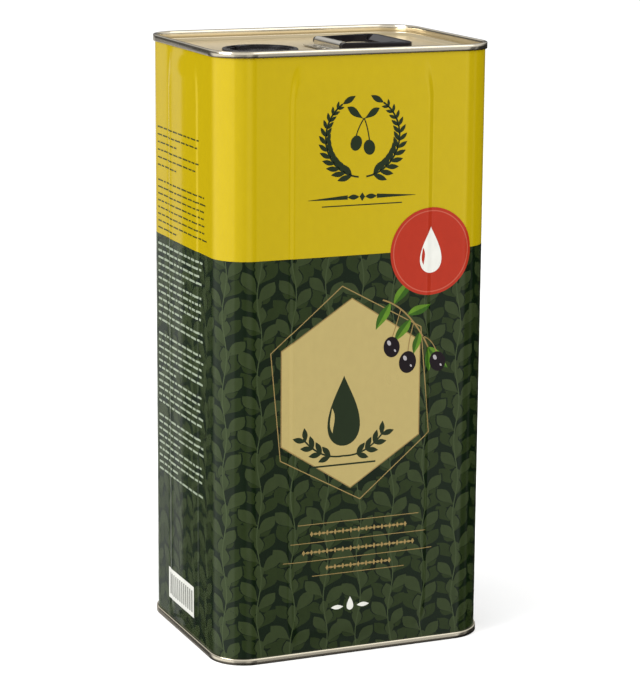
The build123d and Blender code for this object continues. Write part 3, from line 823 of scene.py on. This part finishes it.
def face_design():
    """Layers of a broad face's print: name, shapes and material."""
    sprig_leaves, sprig_shade, sprig_twigs = sprig()
    fruit, glints = olives()
    plaque_light = turned(leaf(13, 2.6, 0.22, tip=0.5), math.radians(14), (-15.2, 119.0))
    badge_light = turned(leaf(9.0, 1.9, 0.2, tip=0.5), math.radians(14), (34.6, 203.2))
    ring = [on_circle(BADGE_AT, RING_R, a) for a in around(120)]
    return [
        ("wreath", wreath(), DARK),
        ("plaque_edge", [hexagon(38.6, 49.9, PLAQUE_AT)], GOLD),
        ("plaque", [hexagon(38.0, 49.2, PLAQUE_AT)], CREAM),
        ("gold", gold_lines(), GOLD),
        ("drop", drop_and_sprays(), DARK),
        ("drop_light", [plaque_light], CREAM),
        ("sprig_leaves", sprig_leaves, FRESH),
        ("sprig_shade", sprig_shade, FRESH_DARK),
        ("sprig_twigs", sprig_twigs, TWIG),
        ("olives", fruit, OLIVE),
        ("olive_glints", glints, SHINE),
        ("badge", [disc(BADGE_AT, BADGE_R, 120)], RED),
        ("badge_ring", ribbon(ring, 0.55, closed=True), RED_RIM),
        ("badge_drop", [drop((BADGE_AT[0], 207.4), 8.6, 24.0)], WHITE),
        ("badge_drop_cut", [badge_light], RED),
        ("mark", mark(), WHITE),
    ]


FACE_DESIGN = face_design()
for prefix, mid in (("front", 0.0), ("back", GIRTH / 2)):
    for part, shapes, look in FACE_DESIGN:
        print_piece(prefix, part, shapes, look, mid)


# The print of a narrow face
PATCH_FOOT = 14.0


def dashes(left, right, top, rows, pitch, thick, ragged):
    """Rows of dashes, downwards from a height. Every so many rows, one ends early."""
    out = []
    for row in range(rows):
        z = top - row * pitch
        if row % ragged == ragged - 1:
            end = right - random.uniform(0.25, 0.6) * (right - left)
        else:
            end = right - random.uniform(0, 5)
        s = left
        while s < end - 2:
            length = min(random.uniform(2.6, 8.5), end - s)
            out.append(bar(s, s + length, z, z + thick))
            s += length + 1.3
    return out


def side_print(prefix, mid):
    """Blocks of dashes and a ruled patch on a narrow face."""
    left, right = mid - 39.0, mid + 34.0
    dark = dashes(left, right - 10, 267.0, 6, 4.0, 0.8, 3)
    dark += dashes(left, right, 239.0, 8, 3.6, 0.8, 8)
    pale = []
    top, pitch = 205.0, 3.7
    for rows, ragged in ((12, 5), (11, 6), (9, 4)):
        pale += dashes(left, right - 4, top, rows, pitch, 1.15, ragged)
        top -= rows * pitch + 4.0
    print_piece(prefix, "rules_dark", dark, SOFT_DARK)
    print_piece(prefix, "rules_pale", pale, GREY)
    patch = [bar(mid - 25.0, mid + 15.0, PATCH_FOOT, PATCH_FOOT + 17)]
    print_piece(prefix, "patch", patch, WHITE)
    stripes = []
    for i in range(12):
        x = mid - 22.6 + i * 3.1
        stripes.append(bar(x, x + 1.3, PATCH_FOOT + 2.5, PATCH_FOOT + 14.5))
    print_piece(prefix, "patch_stripes", stripes, DARK)


side_print("left", -SIDE_MID)
side_print("right", SIDE_MID)

# Bare strip and lap of the welded seam at the back
weld_mid = GIRTH / 2 - 53.0
weld = bar(weld_mid - 3, weld_mid + 3, SEAM - 0.5, HEIGHT - SEAM + 0.5)
print_piece("weld", "strip", [weld], WELD)


# Floor, light and camera
def floor():
    """White paper that gloss doesn't mirror, with a little glow to be as pale as the photo's."""
    mesh = bpy.data.meshes.new("floor")
    half = 6.0
    corners = [(*corner, 0) for corner in bar(-half, half, -half, half)]
    mesh.from_pydata(corners, [], [(0, 1, 2, 3)])
    m = Mat("floor_paper", (0.97, 0.97, 0.97, 1), 0.9, spec=0.0)
    m.bump(m.noise(900, detail=2), 0.0001, 0.05)
    m.put("Emission Color", (1, 1, 1, 1))
    m.put("Emission Strength", 0.1)
    mesh.materials.append(m.material)
    obj = bpy.data.objects.new("floor", mesh)
    bpy.context.scene.collection.objects.link(obj)
    obj.visible_glossy = False


def area(name, at, aim, size, power):
    """Area light in metres and watts, aimed at a point and not seen by the camera."""
    light = bpy.data.lights.new(name, "AREA")
    light.shape = "RECTANGLE"
    light.size, light.size_y = size
    light.energy = power
    obj = bpy.data.objects.new(name, light)
    bpy.context.scene.collection.objects.link(obj)
    obj.location = at
    obj.rotation_euler = (Vector(aim) - Vector(at)).to_track_quat("-Z", "Y").to_euler()
    obj.visible_camera = False


# Brightness of the room low down, by azimuth in degrees: a wide bright side on the left,
# a dim front, a bright patch at the back and the rest dark
ROOM = [(-180, 0.95), (-144, 0.95), (-140, 0.45), (-119, 0.35), (-107, 0.25), (-98, 0.5),
        (-90, 0.5), (-82, 0.15), (-73, 0.1), (-61, 0.75), (-54, 0.7), (-46, 0.12), (-30, 0.12),
        (-24, 0.3), (-14, 0.03), (68, 0.02), (78, 0.5), (100, 0.5), (107, 0.04), (113, 0.04),
        (124, 0.12), (143, 0.9), (180, 0.95)]
# Brightness of the room by the upward part of the direction, towards the front and the back
FRONT_CEILING = [(0.0, 0.42), (0.05, 0.45), (0.12, 0.86), (0.38, 0.86), (0.6, 0.6), (0.85, 0.4),
                 (1.0, 0.4)]
BACK_CEILING = [(0.0, 0.1), (0.13, 0.08), (0.26, 0.4), (0.45, 0.75), (0.7, 0.5), (1.0, 0.4)]
# What is left of the room's brightness steeply below
UNDER_GAIN = 0.12
# Parts of the direction over which the walls go over into the ceiling and into what is below,
# and the front into the back
WALL_TO_CEILING = (-0.04, 0.08)
BELOW_TO_WALL = (-0.52, -0.36)
FRONT_TO_BACK = (-0.4, 0.4)


def world():
    """White room for the camera and for matt light. Gloss mirrors one of dark and bright parts."""
    studio = bpy.data.worlds.new("studio")
    bpy.context.scene.world = studio
    studio.use_nodes = True
    studio.cycles.sampling_method = "NONE"
    n = Nodes(studio.node_tree)

    def tones(value, stops):
        """Greys by a number from 0 to 1."""
        ramp = n.new("ShaderNodeValToRGB")
        bits = ramp.color_ramp.elements
        while len(bits) < len(stops):
            bits.new(0.5)
        for bit, (place, grey) in zip(bits, stops):
            bit.position = place
            bit.color = (grey, grey, grey, 1)
        n.feed(ramp.inputs[0], value)
        return ramp.outputs[0]

    x, y, z = n.split(n.new("ShaderNodeTexCoord").outputs["Generated"])
    azimuth = n.calc("MULTIPLY_ADD", n.calc("ARCTAN2", y, x), 0.5 / math.pi, 0.5)
    walls = n.new("ShaderNodeVectorMath", operation="SCALE")
    n.feed(walls.inputs[0], tones(azimuth, [(a / 360 + 0.5, grey) for a, grey in ROOM]))
    n.feed(walls.inputs["Scale"], n.ramp(z, *BELOW_TO_WALL, low=UNDER_GAIN, smooth=True))
    ceiling = n.mix(n.ramp(y, *FRONT_TO_BACK), tones(z, FRONT_CEILING), tones(z, BACK_CEILING))
    room = n.mix(n.ramp(z, *WALL_TO_CEILING, smooth=True), walls.outputs[0], ceiling)
    white = n.new("ShaderNodeBackground")
    mirrored = n.new("ShaderNodeBackground")
    n.feed(white.inputs["Color"], (1, 1, 1, 1))
    n.feed(mirrored.inputs["Color"], room)
    choice = n.new("ShaderNodeMixShader")
    n.feed(choice.inputs[0], n.new("ShaderNodeLightPath").outputs["Is Glossy Ray"])
    n.feed(choice.inputs[1], white.outputs[0])
    n.feed(choice.inputs[2], mirrored.outputs[0])
    n.feed(n.new("ShaderNodeOutputWorld").inputs[0], choice.outputs[0])


# The camera as it was fitted to the tin's edges in the photograph
SENSOR_MM = 36.0
FOCAL_PX, FRAME_PX = 2539.84, 691.0
CAMERA_AT = (-0.5122, -1.2125, 0.4419)
CAMERA_AXES = ((0.9212, -0.38903, 0.00729), (0.07717, 0.20104, 0.97654),
               (-0.38136, -0.89902, 0.21522))


def camera():
    cam = bpy.data.cameras.new("camera")
    cam.sensor_width = SENSOR_MM
    cam.lens = FOCAL_PX * SENSOR_MM / FRAME_PX
    obj = bpy.data.objects.new("camera", cam)
    bpy.context.scene.collection.objects.link(obj)
    pose = Matrix(CAMERA_AXES).transposed().to_4x4()
    pose.translation = Vector(CAMERA_AT)
    obj.matrix_world = pose
    bpy.context.scene.camera = obj


floor()
world()
area("key_left", (-1.66, -0.25, 1.05), (0, 0, 0.16), (1.2, 1.2), 24)
area("fill_front", (0.46, -0.74, 0.98), (0.04, 0, 0.18), (0.95, 0.95), 3.1)
# Narrow strips that the back half of the left side mirrors
area("strip_left", (-0.1565, 0.2366, 0.11), (-0.079, 0.022, 0.11), (0.0058, 0.38), 0.0034)
area("strip_back", (-0.1462, 0.2403, 0.11), (-0.069, 0.026, 0.11), (0.009, 0.38), 0.005)
camera()
bpy.context.scene.view_settings.view_transform = "Standard"
bpy.context.scene.view_settings.look = "None"
